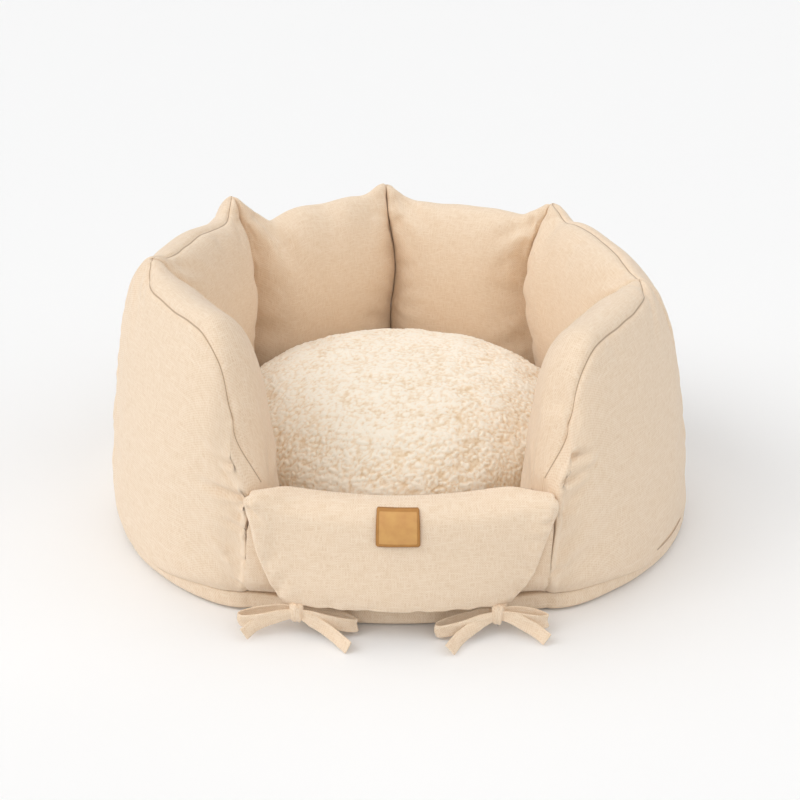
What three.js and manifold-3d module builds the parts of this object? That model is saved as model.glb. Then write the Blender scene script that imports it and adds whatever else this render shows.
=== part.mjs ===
// Round pet bed sewn from cotton canvas. Six padded wall chambers stand on a heptagonal floor pad,
// and a seventh panel closes the front, folded outwards at half height and tied down with two bows.
// Millimetres, +Z up. The origin is the middle of the underside, and the entrance faces -Y.

import * as THREE from 'three';
import { mergeVertices } from 'three/addons/utils/BufferGeometryUtils.js';
import Module from 'manifold-3d';

const CLEARANCE = 0.4;                 // between pieces that are sewn or pressed together
const FRONT_HALF_ANGLE = 28;           // degrees from the middle of the entrance to its corner seams
const FRONT_SLOPE = Math.tan(THREE.MathUtils.degToRad(FRONT_HALF_ANGLE));

const FLOOR_PAD = { thick: 20, bulge: 4, cornerY: -248, frontBow: 22 };

const WALL = {
  bottom: FLOOR_PAD.thick + CLEARANCE,
  crown: 3.8,                          // how square the shoulders are under the top seam
  footDraw: 0.14,                      // how far the outer face draws in at the bottom seam
  footReach: 0.09,
  plumpness: 3,                        // how soon a chamber is full, past its side seams
  chordDip: 0.099,                     // a straight edge between two corners passes this much nearer in
  ridgeBulge: 9,
  midRadius: 260,                      // of the chamber's middle plane at the floor, halfway along
  outerHalf: 43,                       // padding outside and inside that plane, halfway along
  innerHalf: 62,
  stepsAlong: 16,
  stepsUp: 10,
};

// The seams between panels, anticlockwise. A rear seam ends in a raised ear, a front one at the fold.
const SEAMS = {
  frontRight: {
    azimuth: FRONT_HALF_ANGLE - 90,
    topRadius: 268, topZ: 129, footRadius: 262, outerHalf: 19, innerHalf: 17,
  },
  right: { azimuth: -12, topRadius: 238, topZ: 257, footRadius: 268, outerHalf: 34, innerHalf: 25 },
  backRight: { azimuth: 43.5, topRadius: 235, topZ: 270, footRadius: 264, outerHalf: 33, innerHalf: 32 },
  back: { azimuth: 92, topRadius: 236, topZ: 280, footRadius: 262, outerHalf: 33, innerHalf: 25 },
  backLeft: { azimuth: 141.4, topRadius: 235, topZ: 286, footRadius: 262, outerHalf: 33, innerHalf: 25 },
  left: { azimuth: 192.9, topRadius: 244, topZ: 276, footRadius: 268, outerHalf: 34, innerHalf: 25 },
  frontLeft: {
    azimuth: 270 - FRONT_HALF_ANGLE,
    topRadius: 268, topZ: 128, footRadius: 261, outerHalf: 19, innerHalf: 17,
  },
};

// Top seam heights beside the first ear, halfway along and beside the second one. An open chamber
// ends at the entrance.
const CHAMBERS = [
  { name: 'right_front', from: 'right', to: 'frontRight', nearZ: 254, midZ: 250, farZ: 242, open: true },
  { name: 'right_back', from: 'backRight', to: 'right', nearZ: 262, midZ: 264, farZ: 254, open: false },
  { name: 'back_right', from: 'back', to: 'backRight', nearZ: 265, midZ: 258, farZ: 257, open: false },
  { name: 'back_left', from: 'backLeft', to: 'back', nearZ: 250, midZ: 263, farZ: 270, open: false },
  { name: 'left_back', from: 'left', to: 'backLeft', nearZ: 263, midZ: 272, farZ: 266, open: false },
  { name: 'left_front', from: 'left', to: 'frontLeft', nearZ: 265, midZ: 264, farZ: 259, open: true },
];
const EAR_REACH = 0.075;               // share of a chamber's length over which an ear falls away
const OPEN_EDGE = { start: 0.68, power: 2.6 };   // where the free front edge starts to curve down

const FRONT = {
  foldZ: 108,                          // height of the fold's centre
  foldSquash: 0.6,                     // the fold is lower than it is deep
  footHalf: 17,                        // half the padding in the standing half
  foldHalf: 13,
  flapHalf: 11,
  edgeHalf: 4.5,                       // half the padding left at the side seams
  footFaceY: -247,                     // outer face of the standing half at its sides, by the pad
  foldFaceY: -242,                     // and by the fold
  bow: 20,                             // and how much further out it stands halfway across
  slit: 4,                             // air between the standing half and the hanging flap
  edgeSlit: 3,
  flapLean: 15,                        // the flap's hem hangs this much further out than the fold
  flapBottomZ: 32,
  flapTopHalfWidth: 127,
  flapHalfWidth: 98,                   // at the flap's free edge
  cornerLift: 7,                       // the fold's ends stand up like ears
  cornerReach: 0.16,
  hemDrop: 7,                          // the hem's corners hang lower than its middle
  stepsAcross: 18,
};

const CUSHION = {
  radius: 185,
  centreY: -6,
  bottomZ: WALL.bottom,
  seamZ: 78,
  topZ: 158,
  roundness: 2.8,
  sides: 44,
};

const LABEL = { width: 38, height: 32, corner: 3, thick: 1.8, centreZ: 106, seat: 2 };

const TIE = {
  width: 11,
  thick: 1.8,
  knot: [6.5, 6, 8.5],
  bellyGap: 5,                         // half the air inside a loop
  tailLean: 50,
  rootWidth: 9,
  rootShift: 5,
};

// Each bow has its own fall: the places of the knot, the loops' tips and the tails' ends.
const BOWS = [
  {
    name: 'left', outwards: -1, knot: [-90.5, -281, 21],
    outer: { loopTip: [-140.5, -280, 15], tailMid: [-113, -293, 15], tailEnd: [-139, -299, 4.6] },
    inner: { loopTip: [-37, -284, 12], tailMid: [-64, -299, 12], tailEnd: [-46, -313, 4.6] },
  },
  {
    name: 'right', outwards: 1, knot: [87, -281, 19],
    outer: { loopTip: [131, -281, 14], tailMid: [109, -296, 13], tailEnd: [129, -306, 4.6] },
    inner: { loopTip: [33, -288, 9], tailMid: [66, -300, 11], tailEnd: [48, -318, 4.6] },
  },
];

const CLOTH = { canvas: 0xe6caa6, fleece: 0xf3e0c4, leather: 0xcf9c5c };

const toRadians = THREE.MathUtils.degToRad;
const lerp = THREE.MathUtils.lerp;

// A closed body through rings of equal length. Each end is closed by a fan of faces, or, on a ring
// that goes up one face and back down the other, by a ladder of faces between the two.
function loft(rings, ends = 'fan') {
  const count = rings[0].length;
  const points = rings.flat();
  const faces = [];
  for (let ring = 0; ring < rings.length - 1; ring += 1) {
    for (let i = 0; i < count; i += 1) {
      const next = (i + 1) % count;
      const a = ring * count + i;
      const b = ring * count + next;
      faces.push([a, b, b + count], [a, b + count, a + count]);
    }
  }
  const close = ends === 'fan' ? fanEnd : ladderEnd;
  const first = close(points, 0, count);
  const last = close(points, (rings.length - 1) * count, count);
  faces.push(...first.map(([a, b, c]) => [a, c, b]), ...last);
  return closedGeometry(points, faces);
}

function fanEnd(points, start, count) {
  const middle = new THREE.Vector3();
  for (let i = 0; i < count; i += 1) middle.add(points[start + i]);
  points.push(middle.divideScalar(count));
  const tip = points.length - 1;
  return Array.from({ length: count }, (_, i) => [tip, start + i, start + ((i + 1) % count)]);
}

function ladderEnd(points, start, count) {
  const faces = [];
  for (let i = 0; i < count / 2 - 1; i += 1) {
    const a = start + i;
    const b = start + count - 1 - i;
    faces.push([a, a + 1, b - 1], [a, b - 1, b]);
  }
  return faces;
}

function closedGeometry(points, faces) {
  let volume = 0;
  for (const [a, b, c] of faces) {
    volume += points[a].dot(new THREE.Vector3().crossVectors(points[b], points[c]));
  }
  const outward = volume > 0 ? faces : faces.map(([a, b, c]) => [a, c, b]);
  const geometry = new THREE.BufferGeometry();
  const numbers = points.flatMap((p) => [p.x, p.y, p.z]);
  geometry.setAttribute('position', new THREE.Float32BufferAttribute(numbers, 3));
  geometry.setIndex(outward.flat());
  return geometry;
}

const wasm = await Module();
wasm.setup();

function toManifold(geometry) {
  const bare = geometry.clone();
  bare.deleteAttribute('normal');
  bare.deleteAttribute('uv');
  const merged = mergeVertices(bare, 1e-4);
  return new wasm.Manifold(new wasm.Mesh({
    numProp: 3,
    vertProperties: new Float32Array(merged.attributes.position.array),
    triVerts: new Uint32Array(merged.index.array),
  }));
}

function toGeometry(solid) {
  const mesh = solid.getMesh();
  const geometry = new THREE.BufferGeometry();
  geometry.setAttribute('position', new THREE.BufferAttribute(new Float32Array(mesh.vertProperties), 3));
  geometry.setIndex(new THREE.BufferAttribute(new Uint32Array(mesh.triVerts), 1));
  return geometry;
}

// Full in the middle of a panel and thin at its side seams, for a place from 0 to 1 along it.
function plump(along, power = WALL.plumpness) {
  return Math.sqrt(Math.max(0, 1 - Math.abs(2 * along - 1) ** power));
}

function cosineSteps(count) {
  return Array.from({ length: count + 1 }, (_, i) => (1 - Math.cos((Math.PI * i) / count)) / 2);
}

function topSeamHeight(chamber, along) {
  const { nearZ, midZ, farZ } = chamber;
  const from = SEAMS[chamber.from];
  const to = SEAMS[chamber.to];
  const body = nearZ * (1 - along) * (1 - 2 * along) + midZ * 4 * along * (1 - along)
    + farZ * along * (2 * along - 1);
  const ear = (distance) => Math.exp(-((distance / EAR_REACH) ** 1.6));
  const height = body + (from.topZ - nearZ) * ear(along);
  if (!chamber.open) return height + (to.topZ - farZ) * ear(1 - along);
  const fall = Math.max(0, (along - OPEN_EDGE.start) / (1 - OPEN_EDGE.start));
  return lerp(to.topZ, height, Math.sqrt(Math.max(0, 1 - fall ** OPEN_EDGE.power)));
}

// The measures of a chamber's section at a place along it.
function chamberSection(chamber, along) {
  const from = SEAMS[chamber.from];
  const to = SEAMS[chamber.to];
  const between = (key) => lerp(from[key], to[key], along);
  const arch = 1 - (2 * along - 1) ** 2;
  const full = plump(along);
  return {
    azimuth: toRadians(between('azimuth')),
    topZ: topSeamHeight(chamber, along),
    topRadius: between('topRadius') * (1 - WALL.chordDip * arch) + WALL.ridgeBulge * arch,
    footRadius: lerp(between('footRadius'), WALL.midRadius, arch),
    outerHalf: lerp(between('outerHalf'), WALL.outerHalf, full),
    innerHalf: lerp(between('innerHalf'), WALL.innerHalf, full),
  };
}

function faceOffset(half, up, isOuter) {
  const foot = isOuter ? WALL.footDraw * Math.exp(-((up / WALL.footReach) ** 2)) : 0;
  return half * (Math.sqrt(Math.max(0, 1 - up ** WALL.crown)) - foot);
}

// A padded chamber: its sections stand in radial planes, fan out between two seams and
// meet the neighbours' end sections across a narrow gap.
function wallChamber(chamber) {
  const turn = Math.sign(SEAMS[chamber.to].azimuth - SEAMS[chamber.from].azimuth);
  const quarter = Array.from({ length: WALL.stepsUp + 1 }, (_, k) => (k / WALL.stepsUp) * (Math.PI / 2));
  const heights = quarter.map(Math.sin);
  const rings = cosineSteps(WALL.stepsAlong).map((along) => {
    const section = chamberSection(chamber, along);
    const radial = new THREE.Vector3(Math.cos(section.azimuth), Math.sin(section.azimuth), 0);
    const tangent = new THREE.Vector3(-radial.y, radial.x, 0);
    const inset = turn * (CLEARANCE / 2) * (1 - 2 * along);
    const place = (up, side) => {
      const middle = lerp(section.footRadius, section.topRadius, up);
      const isOuter = side > 0;
      const offset = side * faceOffset(isOuter ? section.outerHalf : section.innerHalf, up, isOuter);
      const point = radial.clone().multiplyScalar(middle + offset).addScaledVector(tangent, inset);
      return point.setZ(lerp(WALL.bottom, section.topZ, up));
    };
    const outer = heights.map((up) => place(up, 1));
    const inner = heights.slice(0, -1).reverse().map((up) => place(up, -1));
    return [...outer, ...inner];
  });
  return loft(rings);
}

// Plan of the floor pad at its widest: the walls' outer feet, and a straight front edge.
function floorOutline() {
  const outline = [];
  const walk = [...CHAMBERS].reverse();
  for (const chamber of walk) {
    const forward = SEAMS[chamber.from].azimuth > SEAMS[chamber.to].azimuth;
    const steps = [0.02, 0.12, 0.26, 0.42, 0.58, 0.74, 0.88, 0.98];
    for (const step of forward ? steps : [...steps].reverse()) {
      const section = chamberSection(chamber, step);
      const radius = section.footRadius + section.outerHalf * (1 - WALL.footDraw) + FLOOR_PAD.bulge;
      const azimuth = section.azimuth;
      outline.push(new THREE.Vector2(radius * Math.cos(azimuth), radius * Math.sin(azimuth)));
    }
  }
  const cornerX = -FLOOR_PAD.cornerY * FRONT_SLOPE;
  for (const share of [0.95, 0.76, 0.5, 0.18, -0.18, -0.5, -0.76, -0.95]) {
    const y = FLOOR_PAD.cornerY - FLOOR_PAD.frontBow * (1 - share ** 2);
    outline.push(new THREE.Vector2(share * cornerX, y));
  }
  return outline.sort((a, b) => Math.atan2(a.y, a.x) - Math.atan2(b.y, b.x));
}

// The pad's rim is rounded under the bottom seam and drawn in at it.
function floorPad() {
  const profile = [
    { z: 0, inset: 10 },
    { z: 2.5, inset: 4 },
    { z: 8, inset: 0 },
    { z: 14, inset: 1 },
    { z: FLOOR_PAD.thick, inset: 6 },
  ];
  const outline = floorOutline();
  return loft(profile.map(({ z, inset }) => outline.map((p) => {
    const length = p.length();
    const scale = (length - inset) / length;
    return new THREE.Vector3(p.x * scale, p.y * scale, z);
  })));
}

// The folded panel's middle line and padding at a place across it, from -1 to 1.
function frontSection(across) {
  const full = plump((across + 1) / 2, 3.2);
  const footHalf = lerp(FRONT.edgeHalf, FRONT.footHalf, full);
  const flapHalf = lerp(FRONT.edgeHalf, FRONT.flapHalf, full);
  const standY = FRONT.foldFaceY + footHalf;
  const flapY = FRONT.foldFaceY - lerp(FRONT.edgeSlit, FRONT.slit, full) - flapHalf;
  const distance = 1 - Math.abs(across);
  const lift = FRONT.cornerLift * Math.exp(-(((distance - 0.07) / FRONT.cornerReach) ** 2));
  const bend = (standY - flapY) / 2;
  const lostPadding = FRONT.footHalf + FRONT.flapHalf - footHalf - flapHalf;
  return {
    footHalf,
    flapHalf,
    foldHalf: Math.min(lerp(FRONT.edgeHalf, FRONT.foldHalf, full), bend - 1.5),
    footY: FRONT.footFaceY + footHalf,
    standY,
    flapY,
    bend,
    foldZ: FRONT.foldZ + lift + lostPadding * FRONT.foldSquash,
    hemZ: FRONT.flapBottomZ - FRONT.hemDrop * across ** 2,
  };
}

const FOOT_STEPS = 5;
const BEND_STEPS = 6;
const FLAP_STEPS = 7;

// One point of the folded panel: along runs up the standing half, over the fold and down the flap.
// side is +1 on the face that shows and -1 on the face inside the fold.
function frontPoint(across, along, side) {
  const section = frontSection(across);
  const centre = new THREE.Vector2();
  const outward = new THREE.Vector2();
  let half;
  let flapShare = 0;
  if (along <= 1) {
    centre.set(lerp(section.footY, section.standY, along), lerp(WALL.bottom, section.foldZ, along));
    outward.set(1, 0);
    half = lerp(section.footHalf, section.foldHalf, along ** 3);
  } else if (along <= 2) {
    const angle = Math.PI * (along - 1);
    outward.set(Math.cos(angle), Math.sin(angle));
    outward.y *= FRONT.foldSquash;
    centre.set((section.standY + section.flapY) / 2, section.foldZ);
    centre.addScaledVector(outward, section.bend);
    half = section.foldHalf;
  } else {
    flapShare = along - 2;
    const lean = FRONT.flapLean * flapShare;
    centre.set(section.flapY - lean, lerp(section.foldZ, section.hemZ, flapShare));
    outward.set(-1, 0);
    const belly = lerp(section.foldHalf, section.flapHalf, Math.min(1, flapShare * 2.5));
    half = belly * Math.sqrt(Math.max(0.06, 1 - flapShare ** 5));
  }
  const flat = centre.addScaledVector(outward, side * half);
  flat.x -= FRONT.bow * (1 - across ** 2);
  const edgeY = flat.x + FRONT.bow * (1 - across ** 2);
  const wedge = -edgeY * FRONT_SLOPE - CLEARANCE;
  const top = along <= 1 ? wedge : Math.min(wedge, FRONT.flapTopHalfWidth);
  const halfWidth = lerp(top, FRONT.flapHalfWidth, flapShare ** 1.5);
  return new THREE.Vector3(across * halfWidth, flat.x, flat.y);
}

function frontPanel() {
  const alongs = [];
  for (let i = 0; i < FOOT_STEPS; i += 1) alongs.push(i / FOOT_STEPS);
  for (let i = 0; i < BEND_STEPS; i += 1) alongs.push(1 + i / BEND_STEPS);
  for (let i = 0; i <= FLAP_STEPS; i += 1) alongs.push(2 + Math.sin(((i / FLAP_STEPS) * Math.PI) / 2));
  const rings = cosineSteps(FRONT.stepsAcross).map((step) => {
    const across = 2 * step - 1;
    const shown = alongs.map((along) => frontPoint(across, along, 1));
    const hidden = [...alongs].reverse().map((along) => frontPoint(across, along, -1));
    return [...shown, ...hidden];
  });
  return loft(rings, 'ladder');
}

// A round cushion: flat underneath, crowned on top, its girth drawn in to the floor pad.
function cushionBody() {
  const { radius, centreY, bottomZ, seamZ, topZ, roundness, sides } = CUSHION;
  const crown = (share) => (1 - share ** roundness) ** 0.5;
  const rings = [];
  const foot = 0.86;
  for (const share of [foot, 0.95]) {
    rings.push({ share, z: lerp(seamZ, bottomZ, crown(share) / crown(foot)) });
  }
  for (const share of [1, 0.985, 0.95, 0.89, 0.8, 0.66, 0.48, 0.26, 0.08]) {
    rings.push({ share, z: seamZ + (topZ - seamZ) * crown(share) });
  }
  return loft(rings.map(({ share, z }) => Array.from({ length: sides }, (_, i) => {
    const angle = (2 * Math.PI * i) / sides;
    const reach = radius * share;
    return new THREE.Vector3(reach * Math.cos(angle), centreY + reach * Math.sin(angle), z);
  })));
}

// The place on the flap's face at a given width and height, found by small steps over the face.
function flapFace(x, z, proud) {
  const halfWidth = FRONT.flapTopHalfWidth;
  const height = FRONT.foldZ - FRONT.flapBottomZ;
  let across = x / halfWidth;
  let along = 2;
  let point;
  for (let i = 0; i < 30; i += 1) {
    point = frontPoint(across, along, 1);
    across += (x - point.x) / halfWidth;
    along += (point.z - z) / height;
  }
  return new THREE.Vector3(x, point.y - proud, z);
}

// A leather patch with rounded corners, its back cut to the flap's face.
function labelPatch(panel) {
  const { width, height, corner, thick, centreZ, seat } = LABEL;
  const outline = [];
  for (const [signX, signZ, start] of [[1, 1, 0], [-1, 1, 90], [-1, -1, 180], [1, -1, 270]]) {
    for (const step of [0, 30, 60, 90]) {
      const angle = toRadians(start + step);
      outline.push([
        signX * (width / 2 - corner) + corner * Math.cos(angle),
        signZ * (height / 2 - corner) + corner * Math.sin(angle),
      ]);
    }
    const [x, z] = outline[outline.length - 1];
    const [sideX, sideZ] = [(signX - signZ) / 2, (signX + signZ) / 2];
    for (const share of [0.25, 0.5, 0.75]) {
      const run = share * 2;
      outline.push([
        x - sideZ * run * (width / 2 - corner),
        z + sideX * run * (height / 2 - corner),
      ]);
    }
  }
  const ring = (scale, proud) => outline.map(([x, z]) => flapFace(x * scale, centreZ + z * scale, proud));
  const back = [0.3, 0.65, 1].map((scale) => ring(scale, -seat));
  const front = [1, 0.65, 0.3].map((scale) => ring(scale, CLEARANCE + thick));
  const padding = toManifold(panel.clone().translate(0, -CLEARANCE, 0));
  return toGeometry(toManifold(loft([...back, ...front])).subtract(padding));
}

// A flat tape along a curve. Its width leans from upright by the first angle at the start and by
// the second one at the end.
function tape(points, { steps, width, lean }) {
  const curve = new THREE.CatmullRomCurve3(points.map((p) => new THREE.Vector3(...p)));
  const rings = Array.from({ length: steps + 1 }, (_, i) => {
    const share = i / steps;
    const centre = curve.getPoint(share);
    const forward = curve.getTangent(share);
    const flatwise = new THREE.Vector3().crossVectors(forward, new THREE.Vector3(0, 0, 1)).normalize();
    const tilt = toRadians(lerp(lean[0], lean[1], share));
    const upright = new THREE.Vector3().crossVectors(flatwise, forward).normalize();
    const across = upright.clone().multiplyScalar(Math.cos(tilt)).addScaledVector(flatwise, Math.sin(tilt));
    const through = new THREE.Vector3().crossVectors(across, forward).normalize();
    return [[1, 1], [-1, 1], [-1, -1], [1, -1]].map(([w, t]) => centre.clone()
      .addScaledVector(across, (w * width) / 2)
      .addScaledVector(through, (t * TIE.thick) / 2));
  });
  return loft(rings);
}

// Half a bow: one loop, one tail, its half of the knot and the end that is sewn on. The sewn end
// runs from the knot to root and stops at the seat, the face that it is sewn to.
function halfBow(bow, half, direction, root, seat) {
  const [kx, ky, kz] = bow.knot;
  const { loopTip, tailMid, tailEnd } = half;
  const [tx, ty, tz] = loopTip;
  const belly = (share, shift) => [lerp(kx, tx, share), lerp(ky, ty, share) + shift, lerp(kz, tz, share)];
  const loop = tape([
    [kx, ky - 1.5, kz],
    belly(0.35, -TIE.bellyGap * 0.8),
    belly(0.8, -TIE.bellyGap),
    [tx, ty, tz],
    belly(0.8, TIE.bellyGap),
    belly(0.35, TIE.bellyGap * 0.8),
    [kx, ky + 1.5, kz],
  ], { steps: 20, width: TIE.width, lean: [0, 0] });
  const tail = tape([[kx, ky - 1, kz - 1], tailMid, tailEnd], {
    steps: 8, width: TIE.width, lean: [0, -direction * TIE.tailLean],
  });
  const start = [kx + direction * TIE.rootShift, ky, kz];
  const sewn = tape([start, root], { steps: 3, width: TIE.rootWidth, lean: [90, 90] });
  const knot = new THREE.SphereGeometry(1, 12, 8).scale(...TIE.knot).translate(kx, ky, kz);
  const farSide = kx - direction * (20 - CLEARANCE / 2);
  const otherHalf = new THREE.BoxGeometry(40, 60, 60).translate(farSide, ky, kz);
  const tied = [loop, tail, knot].map(toManifold).reduce((a, b) => a.add(b));
  const whole = tied.subtract(toManifold(otherHalf)).add(toManifold(sewn));
  return toGeometry(whole.subtract(toManifold(seat)));
}

const canvas = new THREE.MeshStandardMaterial({ color: CLOTH.canvas, roughness: 0.95, metalness: 0 });
const fleece = new THREE.MeshStandardMaterial({ color: CLOTH.fleece, roughness: 1, metalness: 0 });
const leather = new THREE.MeshStandardMaterial({ color: CLOTH.leather, roughness: 0.6, metalness: 0 });

const bed = new THREE.Group();

function addPiece(name, geometry, material) {
  geometry.computeVertexNormals();
  const mesh = new THREE.Mesh(geometry, material);
  mesh.name = name;
  bed.add(mesh);
}

const padGeometry = floorPad();
const frontGeometry = frontPanel();
addPiece('floor_pad', padGeometry, canvas);
for (const chamber of CHAMBERS) addPiece(`wall_${chamber.name}`, wallChamber(chamber), canvas);
addPiece('front_panel', frontGeometry, canvas);
addPiece('cushion', cushionBody(), fleece);
addPiece('label', labelPatch(frontGeometry), leather);

const flapSeat = frontGeometry.clone().translate(0, 0, -CLEARANCE);
const padSeat = padGeometry.clone().translate(0, -CLEARANCE, 0);
for (const bow of BOWS) {
  const [kx] = bow.knot;
  const shift = bow.outwards * TIE.rootShift;
  const hem = frontPoint((kx + shift) / FRONT.flapHalfWidth, 2.85, 0).toArray();
  const rim = [kx - shift, FLOOR_PAD.cornerY - FLOOR_PAD.frontBow * 0.3, FLOOR_PAD.thick * 0.6];
  addPiece(`tie_${bow.name}_flap`, halfBow(bow, bow.outer, bow.outwards, hem, flapSeat), canvas);
  addPiece(`tie_${bow.name}_pad`, halfBow(bow, bow.inner, -bow.outwards, rim, padSeat), canvas);
}

export default bed;
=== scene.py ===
"""A round pet bed of padded cotton canvas with a loose sherpa cushion, on a pale studio floor.

Every size is in metres and +Z is up. The bed's entrance faces -Y. Sizes and places that the frame
gives are read from it, and the rest are named in the section of the piece that they belong to.
"""

import math
import random

import bmesh
import bpy
import numpy as np
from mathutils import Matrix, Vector, noise
from mathutils.bvhtree import BVHTree


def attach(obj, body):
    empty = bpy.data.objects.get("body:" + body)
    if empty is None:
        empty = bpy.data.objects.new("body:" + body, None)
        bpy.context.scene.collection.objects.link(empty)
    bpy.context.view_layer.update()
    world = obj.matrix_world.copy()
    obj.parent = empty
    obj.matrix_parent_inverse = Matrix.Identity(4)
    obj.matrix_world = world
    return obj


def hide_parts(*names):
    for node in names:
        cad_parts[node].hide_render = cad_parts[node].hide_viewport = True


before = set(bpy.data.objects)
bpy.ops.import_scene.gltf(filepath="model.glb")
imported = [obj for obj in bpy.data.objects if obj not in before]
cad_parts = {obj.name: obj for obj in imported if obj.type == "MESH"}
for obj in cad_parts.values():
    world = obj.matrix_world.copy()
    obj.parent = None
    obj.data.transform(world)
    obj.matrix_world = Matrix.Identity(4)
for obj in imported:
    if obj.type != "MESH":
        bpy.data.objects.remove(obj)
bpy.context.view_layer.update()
MM = 0.001


# The camera stands in front of the entrance and looks down on the bed.
# The bed fills five sevenths of a square picture, seen by a short telephoto lens.
VIEW = {"target": (0, 0, 0.104), "distance": 1.38, "elevation": 23.5, "lens": 59.2, "shift_x": 0.00125}

elevation = math.radians(VIEW["elevation"])
towards_camera = Vector((0, -math.cos(elevation), math.sin(elevation)))
camera_data = bpy.data.cameras.new("camera")
camera_data.lens = VIEW["lens"]
camera_data.sensor_width = 36
camera_data.shift_x = VIEW["shift_x"]
camera_data.clip_end = 60
camera = bpy.data.objects.new("camera", camera_data)
camera.location = Vector(VIEW["target"]) + VIEW["distance"] * towards_camera
camera.rotation_euler = (math.pi / 2 - elevation, 0, 0)
bpy.context.scene.collection.objects.link(camera)
bpy.context.scene.camera = camera


# The studio: a plain pale floor that runs out of the picture, a faint white surround, and six
# very large soft lamps all round, so far away that they light the floor evenly.
FLOOR_SIZE = 30
FLOOR_COLOUR = "F7F7F7"
LAMP_COLOUR = "FFFFFF"
SURROUND = {"colour": "FFFFFF", "strength": 0.10}
LAMPS = [
    {"name": "key", "towards": (-0.75, -0.5, 1.0), "spread": 38, "strength": 0.58},
    {"name": "back", "towards": (0, 0.6, 1.0), "spread": 60, "strength": 0.84},
    {"name": "front", "towards": (0, -1.0, 1.2), "spread": 70, "strength": 0.66},
    {"name": "front_low", "towards": (0, -1.0, 0.35), "spread": 60, "strength": 0.23},
    {"name": "left", "towards": (-1.0, -0.1, 0.6), "spread": 60, "strength": 1.22},
    {"name": "right", "towards": (1.0, -0.3, 0.8), "spread": 60, "strength": 0.91},
]


def linear(hex_colour):
    """The linear colour of an sRGB hex value."""
    values = [int(hex_colour[i:i + 2], 16) / 255 for i in (0, 2, 4)]
    return [v / 12.92 if v <= 0.04045 else ((v + 0.055) / 1.055) ** 2.4 for v in values] + [1.0]


def add_node(tree, kind, settings=None, links=None):
    """Adds a shader node, sets its fields or its sockets, and links sockets of it to others."""
    node = tree.nodes.new(kind)
    for key, value in (settings or {}).items():
        if isinstance(key, str) and hasattr(node, key):
            setattr(node, key, value)
        else:
            node.inputs[key].default_value = value
    for key, source in (links or {}).items():
        tree.links.new(source, node.inputs[key])
    return node


def new_material(name):
    material = bpy.data.materials.new(name)
    material.use_nodes = True
    material.node_tree.nodes.clear()
    return material, material.node_tree


def add_surface(tree, settings, links=None):
    """The shader of a surface, joined to the material's output."""
    surface = add_node(tree, "ShaderNodeBsdfPrincipled", settings, links)
    add_node(tree, "ShaderNodeOutputMaterial", links={"Surface": surface.outputs[0]})


def deselect_all():
    bpy.ops.object.select_all(action="DESELECT")


def activate(piece):
    deselect_all()
    piece.select_set(True)
    bpy.context.view_layer.objects.active = piece


deselect_all()
bpy.ops.mesh.primitive_plane_add(size=FLOOR_SIZE)
floor = bpy.context.active_object
floor.name = "studio_floor"
floor_material, tree = new_material("matt_painted_board")
add_surface(tree, {"Base Color": linear(FLOOR_COLOUR), "Roughness": 0.9, "Specular IOR Level": 0.2})
floor.data.materials.append(floor_material)

for lamp in LAMPS:
    lamp_data = bpy.data.lights.new(lamp["name"], "SUN")
    lamp_data.angle = math.radians(lamp["spread"])
    lamp_data.energy = lamp["strength"]
    lamp_data.color = linear(LAMP_COLOUR)[:3]
    lamp_object = bpy.data.objects.new(lamp["name"], lamp_data)
    lamp_object.rotation_euler = Vector(lamp["towards"]).to_track_quat("Z", "Y").to_euler()
    bpy.context.scene.collection.objects.link(lamp_object)

world = bpy.data.worlds.new("studio")
bpy.context.scene.world = world
world.use_nodes = True
world.node_tree.nodes["Background"].inputs["Color"].default_value = linear(SURROUND["colour"])
world.node_tree.nodes["Background"].inputs["Strength"].default_value = SURROUND["strength"]
bpy.context.scene.view_settings.view_transform = "Standard"


# Canvas: plain-woven unbleached cotton, washed soft, with thicker slub yarns both ways.
# It is matt, and its fuzz lightens a face that turns away from the eye.
CANVAS_TONES = [(0.34, "E4C9A9"), (0.55, "EFD8BD"), (0.78, "F5E2CB")]    # pores, yarns and slubs
# Painted shadow in the seams: this darker canvas colour is laid over the cloth along each seam line.
SEAM_SHADOW = {"colour": "8A6541", "strength": 0.62}
YARN_HEIGHT = 0.13               # of a single yarn, where a slub's is 1
YARN_PITCH = 2.2                 # mm; the real yarns are about 1 mm apart, too fine to show here
SLUB_LENGTH = 9                  # mm along a yarn
SLUB_WIDTH = 1.1                 # mm across it
SEAM_SHADE_HALF_WIDTH = 0.6                # mm, half the width of the painted shadow in a seam


def colour_ramp(tree, source, stops):
    """Colours for a value, from (value, hex colour) stops in rising order."""
    ramp = add_node(tree, "ShaderNodeValToRGB", links={"Fac": source})
    elements = ramp.color_ramp.elements
    elements[0].position, elements[0].color = stops[0][0], linear(stops[0][1])
    elements[1].position, elements[1].color = stops[-1][0], linear(stops[-1][1])
    for value, colour in stops[1:-1]:
        elements.new(value).color = linear(colour)
    return ramp.outputs[0]


def thread_noise(tree, coordinates, stretch, seed):
    """Noise drawn out along one set of yarns: (mm across, mm along) in stretch."""
    scaled = add_node(tree, "ShaderNodeVectorMath", {"operation": "DIVIDE", 1: (*stretch, 1)},
                      {0: coordinates})
    moved = add_node(tree, "ShaderNodeVectorMath", {"operation": "ADD", 1: (seed, seed, seed)},
                     {0: scaled.outputs[0]})
    return add_node(tree, "ShaderNodeTexNoise", {"Scale": 1.0, "Detail": 2.0, "Roughness": 0.6},
                    {"Vector": moved.outputs[0]}).outputs["Fac"]


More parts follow.
